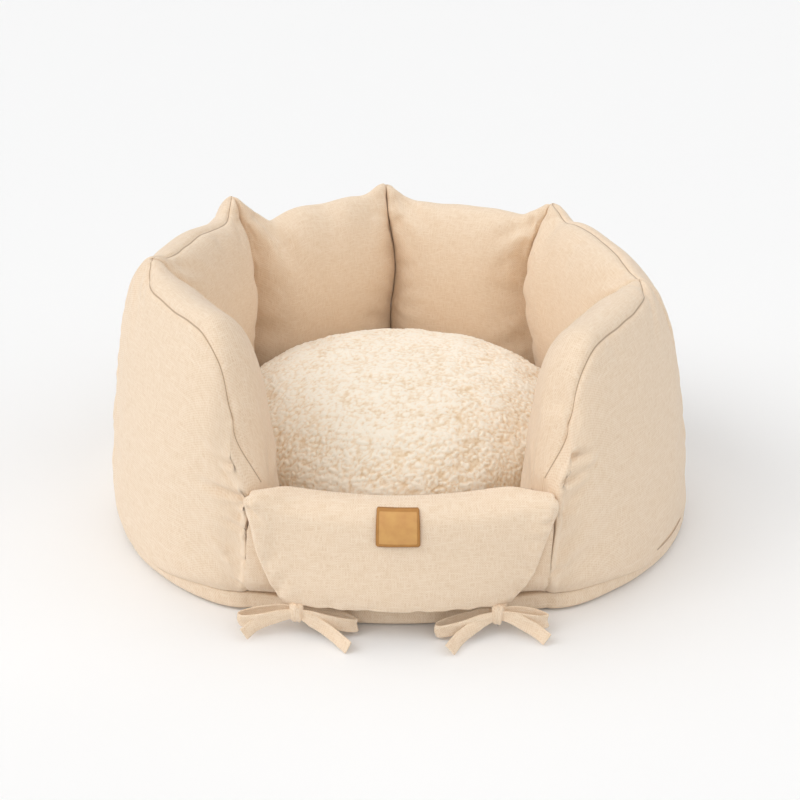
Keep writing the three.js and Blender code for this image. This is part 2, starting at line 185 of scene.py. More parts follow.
def canvas_material(name, with_seam_shade):
    material, tree = new_material(name)
    cloth = add_node(tree, "ShaderNodeAttribute", {"attribute_name": "cloth_mm"}).outputs["Vector"]
    warp = thread_noise(tree, cloth, (SLUB_WIDTH, SLUB_LENGTH), 3.1)
    weft = thread_noise(tree, cloth, (SLUB_LENGTH, SLUB_WIDTH), 7.7)
    slubs = add_node(tree, "ShaderNodeMath", {"operation": "MAXIMUM"}, {0: warp, 1: weft}).outputs[0]
    turned = add_node(tree, "ShaderNodeVectorMath",
                      {"operation": "SCALE", "Scale": 2 * math.pi / YARN_PITCH}, {0: cloth})
    split = add_node(tree, "ShaderNodeSeparateXYZ", links={0: turned.outputs[0]})
    waves = [add_node(tree, "ShaderNodeMath", {"operation": "SINE"}, {0: split.outputs[i]}) for i in (0, 1)]
    weave = add_node(tree, "ShaderNodeMath", {"operation": "MULTIPLY"},
                     {0: waves[0].outputs[0], 1: waves[1].outputs[0]}).outputs[0]
    woven = add_node(tree, "ShaderNodeMath", {"operation": "MULTIPLY_ADD", 1: YARN_HEIGHT},
                     {0: weave, 2: slubs}).outputs[0]
    colour = colour_ramp(tree, woven, CANVAS_TONES)
    # Painted shade: the cloth turns darker towards each seam line.
    if with_seam_shade:
        seam = add_node(tree, "ShaderNodeAttribute", {"attribute_name": "line_mm"}).outputs["Fac"]
        line = add_node(tree, "ShaderNodeMapRange", {
            "From Min": SEAM_SHADE_HALF_WIDTH * 0.5, "From Max": SEAM_SHADE_HALF_WIDTH * 1.7,
            "To Min": SEAM_SHADOW["strength"], "To Max": 0.0,
        }, {"Value": seam})
        colour = add_node(tree, "ShaderNodeMix", {"data_type": "RGBA", 7: linear(SEAM_SHADOW["colour"])},
                          {0: line.outputs[0], 6: colour}).outputs[2]
    bump = add_node(tree, "ShaderNodeBump", {"Strength": 0.35, "Distance": 0.0006}, {"Height": woven})
    add_surface(tree, {
        "Roughness": 0.92, "Specular IOR Level": 0.18, "Sheen Weight": 0.25, "Sheen Roughness": 0.6,
    }, {"Base Color": colour, "Normal": bump.outputs[0]})
    return material


canvas = canvas_material("washed_cotton_canvas", False)
canvas_with_painted_seam_shade = canvas_material("washed_cotton_canvas_with_painted_seam_shade", True)


# Wall chambers: six pillows of canvas filled with fibre, sewn side by side to a ring and to the
# rim of the floor pad. An outer and an inner panel meet in a top seam, and each corner seam ends
# in an ear. The fibre swells a chamber between its seams, and the cloth gathers beside them.
CHAMBERS = [
    {"name": "right_front", "from": -12.0, "to": -62.0, "seam_shift": 14, "open": True},
    {"name": "right_back", "from": 43.5, "to": -12.0, "seam_shift": -6, "open": False},
    {"name": "back_right", "from": 92.0, "to": 43.5, "seam_shift": 8, "open": False},
    {"name": "back_left", "from": 141.4, "to": 92.0, "seam_shift": 8, "open": False},
    {"name": "left_back", "from": 192.9, "to": 141.4, "seam_shift": -14, "open": False},
    {"name": "left_front", "from": 192.9, "to": 242.0, "seam_shift": 14, "open": True},
]
CHAMBER_RINGS = 16               # sections of the frame's solid, from one corner seam to the next
ALONG_STEPS = 64
PANEL_STEPS = 54                 # from the foot to the top seam, on either panel
FOOT_CUTS = 8                    # across the underside
SECTION_CORE = 0.22              # points nearer to a section's middle than this share aren't on its rim
FINE_STEPS = 400
SEAM_EASING = {False: 0.22, True: 0.02}      # share over which the top seam shifts; True is an open end
FOOT_OUT = 4 * MM                # the outer foot lies flush with the pad's rim
FILLING_PRESSURE = 4
SLACK = -0.035                   # the cloth is cut this much larger than the space beside a seam
SLACK_REACH = 0.05
HOLLOW = 5 * MM                  # a chamber starts this much under its full size
SWELL = {"outer": 0.0, "inner": 6.0, "reach": 25}    # mm beyond the frame's solid, past the corner seams
WRINKLE_CELLS = 7                # the filling's wrinkles are what is smaller than this many grid cells
WRINKLE_CAP = 2.5 * MM
CLOTH = {"quality": 4, "mass": 0.2, "tension_stiffness": 20, "compression_stiffness": 20,
         "bending_stiffness": 0.4}
FILLING_FRAMES = 20
WRINKLE_REACH = 0.22             # they fade at this share of a chamber's length from its corner seams
END_EASING = 0.06                # share over which a chamber's full size begins, from a corner seam
TURN_OVER = (-20, 20)            # mm from the top seam; the outer panel's shape turns into the inner's
FOOT_FADE = 18                   # mm above the foot where swell and wrinkles are full
TOP_FADE = 22                    # mm from the top seam within which a pillow's end falls away less
JOINT_GAP = 0.25 * MM
ENTRANCE_SEAMS = (-62.0, 242.0)
# A pillow's end falls away to its corner seam: reach along the wall and depth at the seam, in mm.
FILLETS = {"outer": (9, 6), "inner": (16, 15), "open": (1, 0)}
# The outer foot draws in under the belly beside the entrance, and less past these azimuths from it.
TUCK = {"corner": 8 * MM, "left": 4 * MM, "right": 1.5 * MM, "from": 40, "to": 62, "reach": 10 * MM}
NARROW_LEFT = {"by": 3 * MM, "from": 0.20, "to": 0.28}      # the left side stands nearer in by this
# Beside the entrance a chamber stays full, from below the top seam (in mm) down to the pad's rim.
OPEN_END = {"fill": 9 * MM, "reach": 5 * MM, "seam": -12, "from": 21 * MM, "height": 20 * MM}
FOLD_END = (116, 122)            # mm; the seam beside the front panel ends in the fold at this height
NO_SEAM = 50                     # mm from a seam, where its painted shade doesn't show
# How much higher than the frame's solid a top seam runs, as (share along the chamber, mm).
LIFTS = {
    "right_front": [(0, -4), (0.1, -4), (0.5, -3), (1, 3)],
    "right_back": [(0, 2), (0.05, 1), (0.1, -2), (0.16, -5), (0.22, -3), (0.3, -2), (0.5, -4.5),
                   (0.6, -3.5), (0.8, -3.5), (1, -4)],
    "back_right": [(0, -6), (0.03, -3), (0.07, -4), (0.13, -9), (0.2, -9.5), (0.3, -9), (0.4, -7),
                   (0.6, -5), (0.75, -5), (0.88, -3), (0.93, 2), (0.97, 3), (1, 2)],
    "back_left": [(0, -2), (0.03, 1), (0.06, 4), (0.1, 4), (0.14, -3), (0.18, -9), (0.22, -12), (0.3, -9.5),
                  (0.42, -6.5), (0.6, -9.5), (0.75, -8), (0.88, -6.5), (0.93, -2), (0.97, -2), (1, -6)],
    "left_back": [(0, 0), (0.05, 2), (0.16, 2.5), (0.3, 1), (0.45, 0), (0.6, -2), (0.78, -4),
                  (0.9, -2.5), (1, -2)],
    "left_front": [(0, 0), (0.06, 2), (0.15, 0), (0.5, -3), (1, 2)],
}
# Corner seams don't run straight up: (height, shift towards the larger azimuth), both in mm.
SWAY = {
    43.5: [(30, 0), (110, 4), (170, 17), (210, 14), (240, 6), (262, 0)],
    92.0: [(130, 2), (190, -3), (225, 2), (255, 6), (280, 7)],
    141.4: [(30, 0), (110, -2), (190, -8), (230, -5), (270, 0)],
    -62.0: [(20, 3), (30, -2), (60, -5.5), (80, -4), (100, -2), (125, 0), (145, 6), (165, 10), (185, 10)],
    242.0: [(20, -6.5), (30, -1.5), (60, 4.6), (100, 6.7), (125, 8), (140, 2), (165, -6), (185, -6)],
}
SWAY_REACH = 40 * MM
# Further round from the entrance, in degrees, the belly sags over the pad's rim; mm from the foot.
SAG = {"down": 21 * MM, "out": -2 * MM, "reach": 10, "from": 28, "to": 60}
TOP_SEAM = {"depth": 1.7 * MM, "reach": 2.6, "shoulder": 0.5 * MM, "wander": 1.6}
UNEVEN = [{"size": 90 * MM, "height": 1.6 * MM}, {"size": 28 * MM, "height": 0.5 * MM}]


def natural_spline(knots, values, places):
    """Values of a natural cubic spline through (knots, values) at the given places."""
    knots = np.asarray(knots, float)
    values = np.asarray(values, float)
    steps = np.diff(knots)
    slopes = np.diff(values, axis=0) / steps[:, None]
    system = np.eye(len(knots))
    right = np.zeros_like(values)
    for i in range(1, len(knots) - 1):
        system[i, i - 1:i + 2] = steps[i - 1], 2 * (steps[i - 1] + steps[i]), steps[i]
        right[i] = 6 * (slopes[i] - slopes[i - 1])
    bends = np.linalg.solve(system, right)
    span = np.clip(np.searchsorted(knots, places, side="right") - 1, 0, len(steps) - 1)
    a = ((knots[span + 1] - places) / steps[span])[:, None]
    b = 1 - a
    width = (steps[span] ** 2)[:, None] / 6
    return (a * values[span] + b * values[span + 1]
            + ((a ** 3 - a) * bends[span] + (b ** 3 - b) * bends[span + 1]) * width)


def smooth_step(x, start, end):
    """Eases from 0 to 1 while x goes from start to end."""
    x = np.clip((x - start) / (end - start), 0, 1)
    return x * x * (3 - 2 * x)


def node_points(name):
    """The different points of a frame node's mesh."""
    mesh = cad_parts[name].data
    places = np.zeros(len(mesh.vertices) * 3, np.float32)
    mesh.vertices.foreach_get("co", places)
    return np.unique(places.reshape(-1, 3).round(6), axis=0).astype(float)


def share_of(points, chamber):
    """How far points lie from the chamber's first corner seam to its second, from 0 to 1."""
    azimuth = np.degrees(np.arctan2(points[:, 1], points[:, 0]))
    middle = (chamber["from"] + chamber["to"]) / 2
    azimuth = (azimuth - middle + 180) % 360 - 180 + middle
    return (azimuth - chamber["from"]) / (chamber["to"] - chamber["from"])


def from_entrance(points):
    """How far round from the entrance points lie, in degrees."""
    return np.abs((np.degrees(np.arctan2(points[..., 1], points[..., 0])) + 270) % 360 - 180)


def panel_places(lengths):
    """Places from 0 to 1 down a panel from its seam, close together beside the seam."""
    even = np.linspace(0, 1, PANEL_STEPS + 1)
    return (0.28 * even + 0.72 * even ** 1.5)[None] * np.asarray(lengths)[:, None]


def chamber_grid(chamber):
    """Points of the chamber's skin, as [place along][place round its girth from the outer foot],
    with each point's distance round the girth from the top seam."""
    points = node_points(f"wall_{chamber['name']}")
    steps = (1 - np.cos(np.pi * np.arange(CHAMBER_RINGS + 1) / CHAMBER_RINGS)) / 2
    nearest = np.abs(share_of(points, chamber)[:, None] - steps[None]).argmin(1)
    fine = np.linspace(0, 1, FINE_STEPS)
    rings, crowns, lengths = [], [], []
    for step in range(CHAMBER_RINGS + 1):
        ring = points[nearest == step]
        flat = np.stack([np.hypot(ring[:, 0], ring[:, 1]), ring[:, 2]], 1)
        low, high = flat.min(0), flat.max(0)
        from_middle = (flat - (low + high) / 2) / (high - low)
        rim = np.hypot(from_middle[:, 0], from_middle[:, 1]) > SECTION_CORE
        turn = np.arctan2(-from_middle[:, 0], from_middle[:, 1])
        ring = ring[[i for i in np.argsort(turn) if rim[i]]]
        outwards = ring[0] * (1, 1, 0) / np.hypot(*ring[0, :2])
        ring[0] += outwards * FOOT_OUT
        chords = np.r_[0, np.cumsum(np.linalg.norm(np.diff(ring, axis=0), axis=1))]
        curve = natural_spline(chords / chords[-1], ring, fine)
        rings.append(curve.ravel())
        crowns.append(chords[ring[:, 2].argmax()])
        lengths.append(chords[-1])
    places = np.linspace(0, 1, ALONG_STEPS + 1)
    places = 0.1 * places + 0.9 * (1 - np.cos(np.pi * places)) / 2
    curves = natural_spline(steps, np.array(rings), places).reshape(ALONG_STEPS + 1, len(fine), 3)
    crown, length = natural_spline(steps, np.stack([crowns, lengths], 1), places).T
    near_ear = np.minimum(1, places / SEAM_EASING[False])
    near_end = np.minimum(1, (1 - places) / SEAM_EASING[chamber["open"]])
    wander = np.array([noise.noise((share * 7, chamber["from"], 0)) for share in places])
    wander *= TOP_SEAM["wander"]
    seam = crown - (chamber["seam_shift"] + wander) * MM * np.sin(near_ear * near_end * math.pi / 2)
    outer = seam[:, None] - panel_places(seam)[:, ::-1]
    inner = seam[:, None] + panel_places(length - seam)[:, 1:]
    girth = np.concatenate([outer, inner], 1)
    skin = np.zeros((*girth.shape, 3))
    for i in range(len(places)):
        for axis in range(3):
            skin[i, :, axis] = np.interp(girth[i] / length[i], fine, curves[i, :, axis])
    low, high = skin[..., 2].min(1)[:, None], skin[..., 2].max(1)[:, None]
    shares, lifts = np.array(LIFTS[chamber["name"]], float).T
    crest = share_of(skin[np.arange(len(skin)), skin[..., 2].argmax(1)], chamber)
    lift = natural_spline(shares, lifts[:, None], np.clip(crest, 0, 1)) * MM
    skin[..., 2] += (skin[..., 2] - low) / (high - low) * lift
    outside = np.arange(skin.shape[1]) <= PANEL_STEPS
    rest = np.where(skin[..., 0] < 0, TUCK["left"], TUCK["right"])
    tuck = TUCK["corner"] + (rest - TUCK["corner"]) * smooth_step(
        from_entrance(skin), TUCK["from"], TUCK["to"])
    tuck = tuck * outside * np.exp(-((skin[..., 2] - low) / TUCK["reach"]) ** 2)
    skin[..., :2] *= (1 - tuck / np.hypot(skin[..., 0], skin[..., 1]))[..., None]
    skin[..., 0] += NARROW_LEFT["by"] * smooth_step(-skin[..., 0], NARROW_LEFT["from"], NARROW_LEFT["to"])
    return skin, girth - seam[:, None]


def inflate(piece, pins, pressure, slack_group=None, slack=0.0):
    """Fills a closed cloth, held at the pinned vertices, and keeps the result."""
    group = piece.vertex_groups.new(name="pins")
    group.add([int(i) for i in np.nonzero(pins)[0]], 1.0, "REPLACE")
    cloth = piece.modifiers.new("filling", "CLOTH")
    cloth.settings.use_pressure = True
    cloth.settings.uniform_pressure_force = pressure
    cloth.settings.vertex_group_mass = "pins"
    cloth.settings.effector_weights.gravity = 0
    for key, value in CLOTH.items():
        setattr(cloth.settings, key, value)
    cloth.settings.shrink_min = slack if slack_group else 0.0
    if slack_group:
        cloth.settings.vertex_group_shrink = slack_group
    cloth.collision_settings.use_collision = False
    cloth.point_cache.frame_end = FILLING_FRAMES
    for step in range(1, FILLING_FRAMES + 1):
        bpy.context.scene.frame_set(step)
    activate(piece)
    bpy.ops.object.modifier_apply(modifier=cloth.name)
    bpy.context.scene.frame_set(1)


def places_of(piece):
    places = np.zeros(len(piece.data.vertices) * 3)
    piece.data.vertices.foreach_get("co", places)
    return places.reshape(-1, 3)


def set_places(piece, places):
    piece.data.vertices.foreach_set("co", np.asarray(places, float).ravel())
    piece.data.update()


def normals_of(piece):
    normals = np.zeros(len(piece.data.vertices) * 3)
    piece.data.vertex_normals.foreach_get("vector", normals)
    return normals.reshape(-1, 3)


def set_attribute(piece, name, values):
    """Keeps one number, or one vector, for each vertex under a name."""
    values = np.asarray(values, np.float32)
    kind, field = ("FLOAT", "value") if values.ndim == 1 else ("FLOAT_VECTOR", "vector")
    attribute = piece.data.attributes.new(name, kind, "POINT")
    attribute.data.foreach_set(field, values.ravel())


def attribute_of(piece, name):
    attribute = piece.data.attributes[name]
    wide = attribute.data_type == "FLOAT_VECTOR"
    values = np.zeros(len(piece.data.vertices) * (3 if wide else 1), np.float32)
    attribute.data.foreach_get("vector" if wide else "value", values)
    return values.reshape(-1, 3).astype(float) if wide else values.astype(float)


def apply_modifier(piece, kind, **settings):
    """Adds a modifier with its settings and applies it."""
    modifier = piece.modifiers.new(kind.lower(), kind)
    for key, value in settings.items():
        setattr(modifier, key, value)
    activate(piece)
    bpy.ops.object.modifier_apply(modifier=modifier.name)


def subdivide(piece, levels=1):
    apply_modifier(piece, "SUBSURF", levels=levels, render_levels=levels)


def edit(piece):
    """Opens a piece for editing, with all of it selected."""
    activate(piece)
    bpy.ops.object.mode_set(mode="EDIT")
    bpy.ops.mesh.select_mode(type="EDGE")
    bpy.ops.mesh.select_all(action="SELECT")


def end_edit():
    bpy.ops.object.mode_set(mode="OBJECT")


def select_only(piece, kind, chosen):
    """Selects those edges or faces of the edited piece that the chosen function is true for."""
    bpy.ops.mesh.select_mode(type=kind)
    bpy.ops.mesh.select_all(action="DESELECT")
    mesh_edit = bmesh.from_edit_mesh(piece.data)
    for element in mesh_edit.edges if kind == "EDGE" else mesh_edit.faces:
        element.select = chosen(element)
    bmesh.update_edit_mesh(piece.data)


def face_outwards(piece):
    edit(piece)
    bpy.ops.mesh.normals_make_consistent(inside=False)
    end_edit()


def tangent_at(azimuth):
    """The level direction across a seam plane, towards the larger azimuth."""
    angle = math.radians(azimuth)
    return np.array([-math.sin(angle), math.cos(angle), 0])


def seam_planes(chamber):
    """The direction into the chamber from each of its two corner seams."""
    turn = math.copysign(1, chamber["to"] - chamber["from"])
    return [turn * tangent_at(chamber["from"]), -turn * tangent_at(chamber["to"])]


def keep_between_seams(chamber, places):
    """Moves what has swollen past a corner seam's plane back to it."""
    for into in seam_planes(chamber):
        past = np.maximum(0, JOINT_GAP - places @ into)
        places = places + past[:, None] * into
    return places


def sway(places, azimuth, weight):
    """Bends a corner seam sideways, by height, together with the cloth beside it."""
    heights, shifts = np.array(SWAY[azimuth], float).T
    at = np.clip(places[:, 2] / MM, heights[0], heights[-1])
    shift = natural_spline(heights, shifts[:, None], at)[:, 0] * MM
    near = np.exp(-((places @ tangent_at(azimuth)) / SWAY_REACH) ** 2)
    return places + (shift * near * weight)[:, None] * tangent_at(azimuth)


def blurred(grid, cells):
    """A grid of heights without what is smaller than a number of cells."""
    bell = np.hanning(2 * cells + 3)[1:-1]
    bell /= bell.sum()
    for axis in (0, 1):
        edges = [(cells, cells) if side == axis else (0, 0) for side in (0, 1)]
        grid = np.apply_along_axis(np.convolve, axis, np.pad(grid, edges, mode="edge"), bell, "valid")
    return grid


def fall_away(distance, reach, depth):
    """How deep a pillow's end lies below its face at a distance from its seam, all in mm."""
    past = np.clip(1 - distance / reach, 0, 1)
    return depth * (1 - np.sqrt(1 - past ** 2))


def chamber_piece(chamber):
    """A grid wrapped round the chamber's skin, its two foot edges joined across the underside."""
    skin, from_seam = chamber_grid(chamber)
    deselect_all()
    bpy.ops.mesh.primitive_grid_add(x_subdivisions=2 * PANEL_STEPS, y_subdivisions=ALONG_STEPS, size=1)
    piece = bpy.context.active_object
    piece.name = f"{chamber['name']}_chamber"
    set_places(piece, skin.reshape(-1, 3))
    lengths = np.linalg.norm(np.diff(skin, axis=0), axis=2).mean(1)
    along = np.r_[0, np.cumsum(lengths)]
    cloth = np.zeros(skin.shape)
    cloth[..., 0] = along[:, None] / MM
    cloth[..., 1] = from_seam / MM
    set_attribute(piece, "cloth_mm", cloth.reshape(-1, 3))
    set_attribute(piece, "seam_mm", (from_seam / MM).ravel())
    set_attribute(piece, "foot_mm", ((from_seam - from_seam[:, :1]) / MM).ravel())
    row = 2 * PANEL_STEPS + 1

    def on_foot(edge):
        a, b = (v.index % row for v in edge.verts)
        return a == b and a in (0, row - 1)

    edit(piece)
    select_only(piece, "EDGE", on_foot)
    bpy.ops.transform.edge_crease(value=0.9)
    bpy.ops.mesh.mark_sharp()
    bpy.ops.mesh.bridge_edge_loops(number_cuts=FOOT_CUTS, interpolation="LINEAR")
    end_edit()
    face_outwards(piece)
    return piece


def close_ends(piece):
    """Closes the open ends of a piece with a fan of faces, without painted seam shade across them."""
    count = len(piece.data.vertices)
    edit(piece)
    bpy.ops.mesh.select_all(action="DESELECT")
    bpy.ops.mesh.select_non_manifold(extend=False)
    bpy.ops.mesh.edge_face_add()
    bpy.ops.mesh.select_face_by_sides(number=4, type="GREATER", extend=False)
    bpy.ops.mesh.poke()
    end_edit()
    for value in piece.data.attributes["line_mm"].data[count:]:
        value.value = NO_SEAM


def fill_chamber(chamber, piece):
    """Swells a chamber between its seams, and adds the wrinkles that the filling presses into it."""
    full, normals = places_of(piece), normals_of(piece)
    seam = attribute_of(piece, "seam_mm")
    share = share_of(full, chamber)
    from_end = np.minimum(share, 1 - share)
    above_foot = (full[:, 2] - full[:, 2].min()) / MM
    at_foot = above_foot < 1
    easing = 1 - np.exp(-(from_end / END_EASING) ** 2)
    set_places(piece, full - normals * (HOLLOW * easing * ~at_foot)[:, None])
    group = piece.vertex_groups.new(name="slack")
    weights = np.exp(-(from_end / SLACK_REACH) ** 2) * np.where(seam < 0, 1, 0.5)
    for index, weight in enumerate(weights):
        if weight > 0.02:
            group.add([index], float(weight), "REPLACE")
    wrinkles = np.zeros(len(full))
    inflate(piece, (from_end < 0.004) | at_foot, FILLING_PRESSURE, "slack", SLACK)
    rise = ((places_of(piece) - full) * normals).sum(1)
    rise = rise[:(ALONG_STEPS + 1) * (2 * PANEL_STEPS + 1)].reshape(ALONG_STEPS + 1, -1)
    detail = np.clip(rise - blurred(rise, WRINKLE_CELLS), -WRINKLE_CAP, WRINKLE_CAP)
    wrinkles[:detail.size] = detail.ravel()
    wrinkles *= np.exp(-(from_end / WRINKLE_REACH) ** 2)
    inward = smooth_step(seam, *TURN_OVER)
    low_fade = np.clip(above_foot / FOOT_FADE, 0, 1)
    swell = SWELL["outer"] + (SWELL["inner"] - SWELL["outer"]) * inward
    places = full + normals * (wrinkles * low_fade)[:, None]
    under_top = 1 - np.exp(-(seam / TOP_FADE) ** 2)
    for end, into in enumerate(seam_planes(chamber)):
        distance = full @ into / MM
        swell = swell * (1 - np.exp(-(distance / SWELL["reach"]) ** 2))
        kinds = ("open", "open") if chamber["open"] and end == 1 else ("outer", "inner")
        outer, inner = (fall_away(distance, *FILLETS[kind]) for kind in kinds)
        level = normals - (normals @ into)[:, None] * into
        depth = (outer + (inner - outer) * inward) * under_top * low_fade
        places = places - level * (depth * MM)[:, None]
    places = places + normals * (swell * low_fade * MM)[:, None]
    if chamber["open"]:
        into = seam_planes(chamber)[1]
        outwards = np.cross(into, (0, 0, math.copysign(1, chamber["from"] - chamber["to"])))
        fill = OPEN_END["fill"] * np.exp(-(full @ into / OPEN_END["reach"]) ** 2)
        fill *= seam < OPEN_END["seam"]
        fill *= np.clip((full[:, 2] - OPEN_END["from"]) / OPEN_END["height"], 0, 1)
        places = places + fill[:, None] * outwards
    set_places(piece, keep_between_seams(chamber, places))
    piece.vertex_groups.clear()


def uneven(places, amounts, seed):
    """Soft lumps of a filled cloth, as a height for each point."""
    heights = np.zeros(len(places))
    for lump in amounts:
        shifted = places / lump["size"] + seed
        heights += lump["height"] * np.array([noise.noise(p) for p in shifted])
    return heights


def press_fold(places, normals, start, end, width, depth):
    """A crease from start to end, deepest at start, with a soft ridge on either side of it."""
    run = end - start
    share = ((places - start) @ run) / (run @ run)
    nearest = start + np.clip(share, 0, 1)[:, None] * run
    away = np.linalg.norm(places - nearest, axis=1)
    fade = (1 - np.clip(share, 0, 1)) ** 0.8 * np.clip(1.2 + share * 8, 0, 1)
    trough = np.exp(-(away / width) ** 2) - 0.42 * np.exp(-((away - 1.9 * width) / width) ** 2)
    return places - normals * (depth * fade * trough)[:, None]


# Creases that show from the entrance: the panel, then (share along, height in mm) at both ends,
# width and depth in mm. A negative depth is a ridge.
FOLDS = {
    "left_front": [
        ("outer", 0.990, 122, 0.80, 133, 4.0, 5.2), ("outer", 0.992, 118, 0.90, 112, 2.8, 3.0),
        ("outer", 0.992, 93, 0.90, 101, 3.0, 4.4), ("outer", 0.992, 61, 0.89, 66, 2.8, 3.8),
        ("outer", 0.980, 152, 0.90, 155, 3.0, 3.0), ("outer", 0.955, 188, 0.88, 190, 4.0, 1.0),
        ("outer", 0.985, 34, 0.90, 38, 3.0, 2.4), ("inner", 0.35, 250, 0.55, 215, 9, 1.6),
        ("inner", 0.60, 246, 0.72, 214, 8, 1.3), ("inner", 0.20, 256, 0.30, 228, 8, 1.5),
    ],
    "right_front": [
        ("outer", 0.962, 157, 0.85, 160, 3.6, 4.8), ("outer", 0.978, 136, 0.84, 147, 3.8, 3.6),
        ("outer", 0.985, 108, 0.90, 112, 3.2, 2.2), ("outer", 0.990, 50, 0.90, 54, 3.0, 2.2),
        ("inner", 0.20, 246, 0.34, 212, 8, 1.8), ("inner", 0.42, 240, 0.55, 206, 9, 1.5),
        ("inner", 0.62, 236, 0.72, 200, 8, 1.2), ("outer", 0.66, 240, 0.60, 214, 8, 1.0),
    ],
    "back_left": [
        ("inner", 0.100, 262, 0.22, 222, 8, 5.0), ("inner", 0.20, 226, 0.30, 185, 10, 1.8),
        ("inner", 0.93, 262, 0.84, 215, 8, 2.2), ("inner", 0.80, 255, 0.76, 190, 12, 1.4),
        ("inner", 0.55, 258, 0.52, 200, 14, 1.2),
    ],
    "back_right": [
        ("inner", 0.08, 262, 0.36, 226, 9, 3.6), ("inner", 0.06, 240, 0.17, 205, 7, 2.0),
        ("inner", 0.955, 250, 0.70, 226, 9, 3.6), ("inner", 0.97, 228, 0.84, 196, 8, 2.0),
    ],
    "left_back": [
        ("inner", 0.10, 262, 0.30, 232, 8, 2.0), ("inner", 0.93, 262, 0.78, 236, 8, 2.0),
        ("inner", 0.60, 262, 0.52, 225, 10, 1.2),
    ],
    "right_back": [
        ("inner", 0.92, 250, 0.74, 226, 8, 2.2), ("inner", 0.08, 262, 0.24, 236, 8, 1.6),
        ("inner", 0.45, 256, 0.50, 220, 10, 1.0),
    ],
}
# Gathers along the corner seams that the folds above leave out.
GATHERS = {"count": 6, "low": 40, "high": 235, "lift": (-8, 10), "reach": (0.06, 0.16),
           "width": (3.2, 5), "depth": (0.3, 0.9)}


def gathers(chamber):
    """Creases that run out from a chamber's rear corner seams, on the outside."""
    draw = random.Random(chamber["name"])
    rows = []
    for end in (0, 1):
        if chamber["open"] and end == 1:
            continue
        for i in range(GATHERS["count"]):
            up = (i + draw.random()) / GATHERS["count"]
            height = GATHERS["low"] + (GATHERS["high"] - GATHERS["low"]) * up
            reach = draw.uniform(*GATHERS["reach"])
            ends = (0.01, reach) if end == 0 else (0.99, 1 - reach)
            lift = draw.uniform(*GATHERS["lift"])
            size = draw.uniform(*GATHERS["width"]), draw.uniform(*GATHERS["depth"])
            rows.append(("outer", ends[0], height, ends[1], height + lift, *size))
    return rows


def finish_chamber(chamber, piece):
    """Lays the top seam in its groove and presses the folds."""
    places = places_of(piece)
    normals = normals_of(piece)
    seam = attribute_of(piece, "seam_mm")
    share = share_of(places, chamber)
    open_end = 1 - share if chamber["open"] else np.minimum(share, 1 - share)
    inside = np.clip(np.minimum(share, 1 - share) / 0.05, 0, 1)
    heights = uneven(places, UNEVEN, chamber["from"]) * inside
    groove = TOP_SEAM["depth"] * np.exp(-(seam / TOP_SEAM["reach"]) ** 2)
    heights -= groove * np.clip(open_end / 0.01, 0, 1)
    heights += TOP_SEAM["shoulder"] * np.exp(-((np.abs(seam) - 9) / 6) ** 2) * inside
    above_foot = np.clip((places[:, 2] - places[:, 2].min()) / (6 * MM), 0, 1)
    places = places + normals * (heights * above_foot)[:, None]
    for panel, share_a, z_a, share_b, z_b, width, depth in FOLDS[chamber["name"]] + gathers(chamber):
        wrong_side = (seam > 0) if panel == "outer" else (seam < 0)
        ends = []
        for wanted_share, wanted_z in ((share_a, z_a), (share_b, z_b)):
            miss = (share - wanted_share) ** 2 + ((places[:, 2] / MM - wanted_z) / 270) ** 2 + wrong_side
            ends.append(places[miss.argmin()])
        places = press_fold(places, normals, *ends, width * MM, depth * MM)
    from_foot = attribute_of(piece, "foot_mm")
    near_foot = from_foot / SAG["reach"] * np.exp(1 - from_foot / SAG["reach"])
    near_foot *= smooth_step(from_entrance(places), SAG["from"], SAG["to"])
    outwards = places * (1, 1, 0) / np.hypot(places[:, 0], places[:, 1])[:, None]
    places = places + outwards * (SAG["out"] * near_foot)[:, None]
    places[:, 2] -= SAG["down"] * near_foot
    places = keep_between_seams(chamber, places)
    # The distance to the nearest seam, along which the material paints shade.
    lines = np.minimum(np.abs(seam), from_foot)
    if chamber["open"]:
        above_fold = smooth_step(places[:, 2] / MM, *FOLD_END)
        lines = np.minimum(lines, places @ seam_planes(chamber)[1] / MM + NO_SEAM * above_fold)
    set_attribute(piece, "line_mm", lines)
    for azimuth in (chamber["from"], chamber["to"]):
        weight = np.clip(1 + seam / 30, 0, 1)
        if azimuth in ENTRANCE_SEAMS:
            weight = np.clip(1 - seam / 60, 0.4, 1)
        if azimuth in SWAY:
            places = sway(places, azimuth, weight)
    set_places(piece, places)


def finish_piece(piece, material, slot, *nodes):
    """Smooth shading, the finish, the body that it rides on and the solids that it stands for."""
    piece.data.polygons.foreach_set("use_smooth", [True] * len(piece.data.polygons))
    piece.data.materials.clear()
    piece.data.materials.append(material)
    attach(piece, "root")
    if nodes:
        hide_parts(*nodes)


for chamber in CHAMBERS:
    piece = chamber_piece(chamber)
    fill_chamber(chamber, piece)
    subdivide(piece)
    finish_chamber(chamber, piece)
    close_ends(piece)
    finish_piece(piece, canvas_with_painted_seam_shade, "canvas", f"wall_{chamber['name']}")


